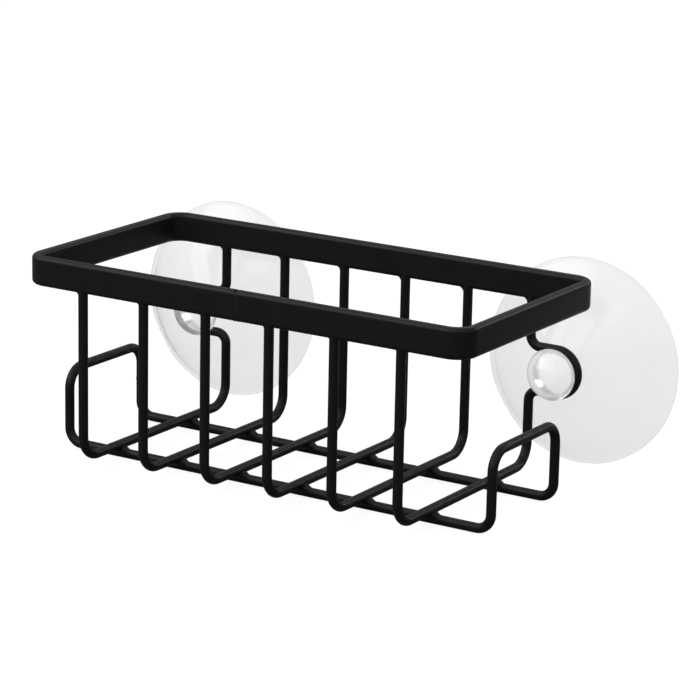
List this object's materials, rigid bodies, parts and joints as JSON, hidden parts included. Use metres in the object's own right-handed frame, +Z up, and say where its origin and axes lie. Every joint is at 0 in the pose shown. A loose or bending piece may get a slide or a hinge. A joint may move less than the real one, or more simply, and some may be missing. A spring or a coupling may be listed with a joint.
{
  "type": "sponge holder",
  "caption": "Black wire sponge basket with a flat strip rim, a base wire turned up into end hoops, and clear suction cups whose necks sit in loops at the back.",
  "frame": {"origin": "on the surface the rails stand on, under the middle of the outer box", "axes": "+X along the basket to the viewer's right, +Y from the open front to the wall, +Z up"},
  "size_m": [0.1836, 0.0892, 0.0629],
  "materials": {
    "powder_coat": "satin black powder coat over steel",
    "clear_pvc": "clear, glossy, soft"
  },
  "bodies": {
    "basket": {"top_rim": "powder_coat", "left_end_wire": "powder_coat", "basket_wire_2": "powder_coat", "basket_wire_3": "powder_coat", "basket_wire_4": "powder_coat", "basket_wire_5": "powder_coat", "right_end_wire": "powder_coat", "base_wire": "powder_coat", "rim_seam_weld": "powder_coat", "base_seam_weld": "powder_coat", "front_rim_welds": "powder_coat", "back_rim_welds": "powder_coat", "front_rail_welds": "powder_coat", "back_rail_welds": "powder_coat"},
    "left_cup": {"left_suction_cup": "clear_pvc"},
    "right_cup": {"right_suction_cup": "clear_pvc"}
  },
  "joints": [
    {"name": "left_cup_slide", "type": "slide", "parent": "basket", "child": "left_cup", "axis": [1, 0, 0], "range_m": [0, 0.02]},
    {"name": "right_cup_slide", "type": "slide", "parent": "basket", "child": "right_cup", "axis": [-1, 0, 0], "range_m": [0, 0.02]}
  ]
}
